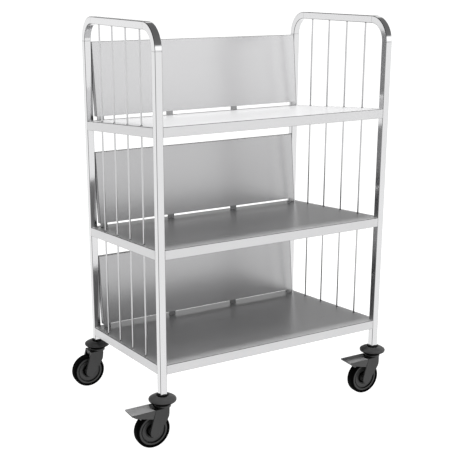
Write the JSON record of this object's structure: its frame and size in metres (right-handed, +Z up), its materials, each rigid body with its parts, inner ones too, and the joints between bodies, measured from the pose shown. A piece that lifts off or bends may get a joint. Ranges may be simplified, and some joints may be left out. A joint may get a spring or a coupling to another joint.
{
  "type": "luggage cart",
  "caption": "Tiered stainless luggage cart with open square-tube ends, back-sloping shelves, leaning back panels and swivel casters with round bumpers.",
  "frame": {"origin": "on the floor under the middle of the overall bounding box, casters and pedals included", "axes": "+Z up; +Y towards the back, where the back panels stand; +X to the right of a person facing the open front"},
  "size_m": [1.069, 0.671, 1.409],
  "materials": {
    "polished_tube": "polished stainless tube and rod",
    "shelf_sheet": "fine brushed stainless sheet, grain along X",
    "panel_sheet": "fine brushed stainless sheet, grain along X",
    "bumper_plastic": "satin dark grey",
    "socket_plastic": "matte black",
    "fork_plastic": "satin dark grey",
    "pedal_plastic": "satin dark grey",
    "rim_plastic": "satin dark grey",
    "tyre": "smooth black",
    "pin_steel": "plain steel"
  },
  "bodies": {
    "cart": {"bottom_back_panel": "panel_sheet", "bottom_shelf": "shelf_sheet", "left_end_frame": "polished_tube", "left_rod_1": "polished_tube", "left_rod_2": "polished_tube", "left_rod_3": "polished_tube", "left_rod_4": "polished_tube", "middle_back_panel": "panel_sheet", "middle_shelf": "shelf_sheet", "right_end_frame": "polished_tube", "right_rod_1": "polished_tube", "right_rod_2": "polished_tube", "right_rod_3": "polished_tube", "right_rod_4": "polished_tube", "top_back_panel": "panel_sheet", "top_shelf": "shelf_sheet", "front_left_bumper": "bumper_plastic", "front_left_socket": "socket_plastic", "front_left_stem": "pin_steel", "front_right_bumper": "bumper_plastic", "front_right_socket": "socket_plastic", "front_right_stem": "pin_steel", "back_left_bumper": "bumper_plastic", "back_left_socket": "socket_plastic", "back_left_stem": "pin_steel", "back_right_bumper": "bumper_plastic", "back_right_socket": "socket_plastic", "back_right_stem": "pin_steel"},
    "front_left_caster": {"front_left_fork": "fork_plastic", "front_left_axle": "pin_steel", "front_left_pedal_pin": "pin_steel"},
    "front_left_wheel": {"front_left_rim": "rim_plastic", "front_left_tyre": "tyre"},
    "front_left_brake": {"front_left_pedal": "pedal_plastic"},
    "front_right_caster": {"front_right_fork": "fork_plastic", "front_right_axle": "pin_steel", "front_right_pedal_pin": "pin_steel"},
    "front_right_wheel": {"front_right_rim": "rim_plastic", "front_right_tyre": "tyre"},
    "front_right_brake": {"front_right_pedal": "pedal_plastic"},
    "back_left_caster": {"back_left_fork": "fork_plastic", "back_left_axle": "pin_steel"},
    "back_left_wheel": {"back_left_rim": "rim_plastic", "back_left_tyre": "tyre"},
    "back_right_caster": {"back_right_fork": "fork_plastic", "back_right_axle": "pin_steel"},
    "back_right_wheel": {"back_right_rim": "rim_plastic", "back_right_tyre": "tyre"}
  },
  "joints": [
    {"name": "front_left_swivel", "type": "hinge", "parent": "cart", "child": "front_left_caster", "pos_m": [-0.4085, -0.2875, 0.14], "axis": [0, 0, 1], "continuous": true},
    {"name": "front_left_wheel_spin", "type": "hinge", "parent": "front_left_caster", "child": "front_left_wheel", "pos_m": [-0.4505, -0.2875, 0.0625], "axis": [0, 1, 0], "continuous": true},
    {"name": "front_left_brake_press", "type": "hinge", "parent": "front_left_caster", "child": "front_left_brake", "pos_m": [-0.4385, -0.2875, 0.132], "axis": [0, -1, 0], "range_deg": [0, 4]},
    {"name": "front_right_swivel", "type": "hinge", "parent": "cart", "child": "front_right_caster", "pos_m": [0.4865, -0.2875, 0.14], "axis": [0, 0, 1], "continuous": true},
    {"name": "front_right_wheel_spin", "type": "hinge", "parent": "front_right_caster", "child": "front_right_wheel", "pos_m": [0.4445, -0.2875, 0.0625], "axis": [0, 1, 0], "continuous": true},
    {"name": "front_right_brake_press", "type": "hinge", "parent": "front_right_caster", "child": "front_right_brake", "pos_m": [0.4565, -0.2875, 0.132], "axis": [0, -1, 0], "range_deg": [0, 4]},
    {"name": "back_left_swivel", "type": "hinge", "parent": "cart", "child": "back_left_caster", "pos_m": [-0.4085, 0.2875, 0.14], "axis": [0, 0, 1], "continuous": true},
    {"name": "back_left_wheel_spin", "type": "hinge", "parent": "back_left_caster", "child": "back_left_wheel", "pos_m": [-0.4505, 0.2875, 0.0625], "axis": [0, 1, 0], "continuous": true},
    {"name": "back_right_swivel", "type": "hinge", "parent": "cart", "child": "back_right_caster", "pos_m": [0.4865, 0.2875, 0.14], "axis": [0, 0, 1], "continuous": true},
    {"name": "back_right_wheel_spin", "type": "hinge", "parent": "back_right_caster", "child": "back_right_wheel", "pos_m": [0.4445, 0.2875, 0.0625], "axis": [0, 1, 0], "continuous": true}
  ]
}
